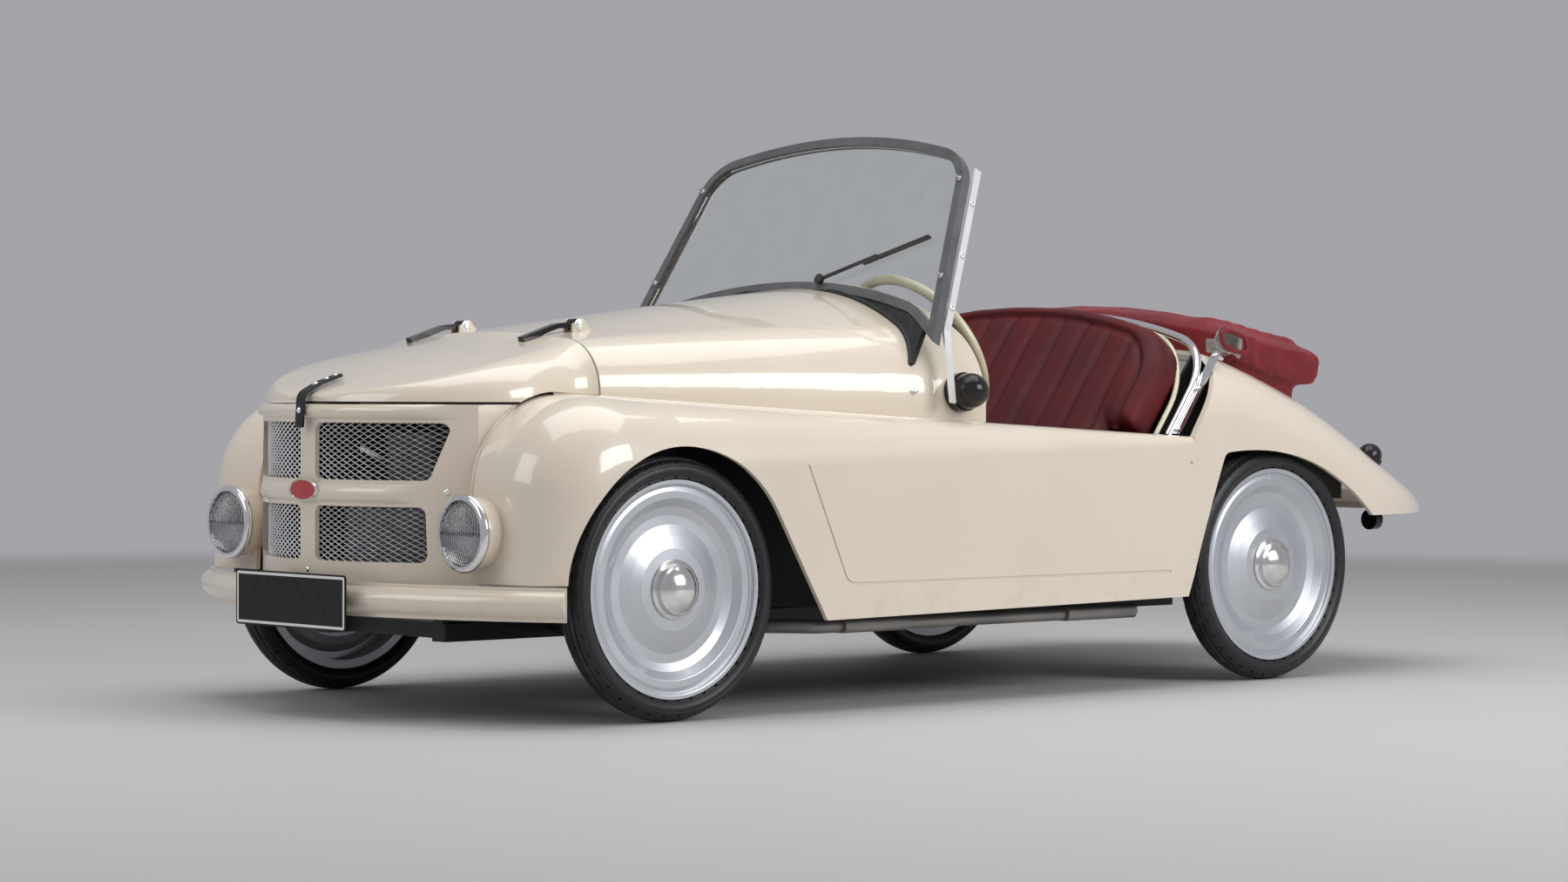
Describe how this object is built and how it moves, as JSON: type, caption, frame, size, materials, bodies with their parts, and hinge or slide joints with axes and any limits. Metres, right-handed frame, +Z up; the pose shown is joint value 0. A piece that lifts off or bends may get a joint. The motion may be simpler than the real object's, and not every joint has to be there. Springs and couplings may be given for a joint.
{
  "type": "doorless two-seat microcar roadster",
  "caption": "Small open two-seat roadster with a rounded bonnet, low screen, bench seat, folded hood and slim disc wheels; rolls, steers and opens its bonnet.",
  "frame": {"origin": "on the ground under the middle of the overall length and width", "axes": "+X forward along the car, +Y to the car's left, +Z up"},
  "size_m": [2.9, 1.1818, 1.1644],
  "materials": {
    "cream_paint": "gloss",
    "silver_mesh": "satin",
    "plate_black": "gloss",
    "chrome_trim": "polished",
    "lamp_glass": "fluted",
    "frame_grey": "satin",
    "screen_glass": "clear",
    "bright_strip": "satin",
    "black_metal": "satin",
    "red_leather": "satin",
    "red_hood": "matte",
    "cream_plastic": "gloss",
    "column_black": "gloss",
    "lamp_black": "gloss",
    "strap_rubber": "matte",
    "engine_alloy": "cast",
    "exhaust_steel": "satin",
    "tyre_black": "matte",
    "wheel_silver": "satin",
    "hubcap_alloy": "polished"
  },
  "bodies": {
    "chassis": {"side_left": "cream_paint", "side_right": "cream_paint", "front_panel": "cream_paint", "cowl": "cream_paint", "tail": "cream_paint", "bumper": "cream_paint", "wheel_wells": "cream_paint", "rear_wells": "cream_paint", "dashboard": "cream_paint", "headlamp_bowls": "cream_paint", "hinge_brackets": "cream_paint", "grille_mesh": "silver_mesh", "number_plate": "plate_black", "headlamp_rims": "chrome_trim", "hood_bow": "chrome_trim", "headlamp_lenses": "lamp_glass", "windscreen_frame": "frame_grey", "windscreen_glass": "screen_glass", "windscreen_stays": "bright_strip", "wiper": "black_metal", "chassis": "black_metal", "front_axle": "black_metal", "rear_axle": "black_metal", "floor_pan": "black_metal", "seat_back": "red_leather", "seat_cushion": "red_leather", "hood_roll": "red_hood", "steering_column": "column_black", "side_lamps": "lamp_black", "tail_lamps": "lamp_black", "tail_reflectors": "lamp_black", "engine": "engine_alloy", "exhaust": "exhaust_steel"},
    "bonnet": {"bonnet": "cream_paint", "bonnet_hinge_arms": "black_metal", "bonnet_strap": "strap_rubber"},
    "steering_wheel": {"steering_wheel": "cream_plastic"},
    "knuckle_left": {"knuckle_left": "black_metal"},
    "knuckle_right": {"knuckle_right": "black_metal"},
    "tie_rod": {"tie_rod": "black_metal"},
    "wheel_fl": {"tyre_fl": "tyre_black", "disc_fl": "wheel_silver", "hubcap_fl": "hubcap_alloy"},
    "wheel_fr": {"tyre_fr": "tyre_black", "disc_fr": "wheel_silver", "hubcap_fr": "hubcap_alloy"},
    "wheel_rl": {"tyre_rl": "tyre_black", "disc_rl": "wheel_silver", "hubcap_rl": "hubcap_alloy"},
    "wheel_rr": {"tyre_rr": "tyre_black", "disc_rr": "wheel_silver", "hubcap_rr": "hubcap_alloy"}
  },
  "joints": [
    {"name": "bonnet_hinge", "type": "hinge", "parent": "chassis", "child": "bonnet", "pos_m": [0.905, 0, 0.753], "axis": [0, -1, 0], "range_deg": [0, 75]},
    {"name": "steer_left", "type": "hinge", "parent": "chassis", "child": "knuckle_left", "pos_m": [0.958, 0.47, 0.25], "axis": [0, 0, 1], "range_deg": [-28, 28]},
    {"name": "steer_right", "type": "hinge", "parent": "chassis", "child": "knuckle_right", "pos_m": [0.958, -0.47, 0.25], "axis": [0, 0, 1], "range_deg": [-28, 28]},
    {"name": "steering_turn", "type": "hinge", "parent": "chassis", "child": "steering_wheel", "pos_m": [-0.035, 0.178, 0.702], "axis": [-0.866, 0, 0.5], "range_deg": [-170, 170]},
    {"name": "tie_rod_slide", "type": "slide", "parent": "chassis", "child": "tie_rod", "axis": [0, 1, 0], "range_m": [-0.056, 0.056]},
    {"name": "wheel_fl_spin", "type": "hinge", "parent": "knuckle_left", "child": "wheel_fl", "pos_m": [0.958, 0.53, 0.25], "axis": [0, 1, 0], "continuous": true},
    {"name": "wheel_fr_spin", "type": "hinge", "parent": "knuckle_right", "child": "wheel_fr", "pos_m": [0.958, -0.53, 0.25], "axis": [0, 1, 0], "continuous": true},
    {"name": "wheel_rl_spin", "type": "hinge", "parent": "chassis", "child": "wheel_rl", "pos_m": [-0.742, 0.53, 0.25], "axis": [0, 1, 0], "continuous": true},
    {"name": "wheel_rr_spin", "type": "hinge", "parent": "chassis", "child": "wheel_rr", "pos_m": [-0.742, -0.53, 0.25], "axis": [0, 1, 0], "continuous": true}
  ],
  "couplings": [
    {"joint": "steer_right", "follows": "steer_left", "ratio": 1},
    {"joint": "steering_turn", "follows": "steer_left", "ratio": 6},
    {"joint": "tie_rod_slide", "follows": "steer_left", "m_per_rad": -0.11}
  ]
}
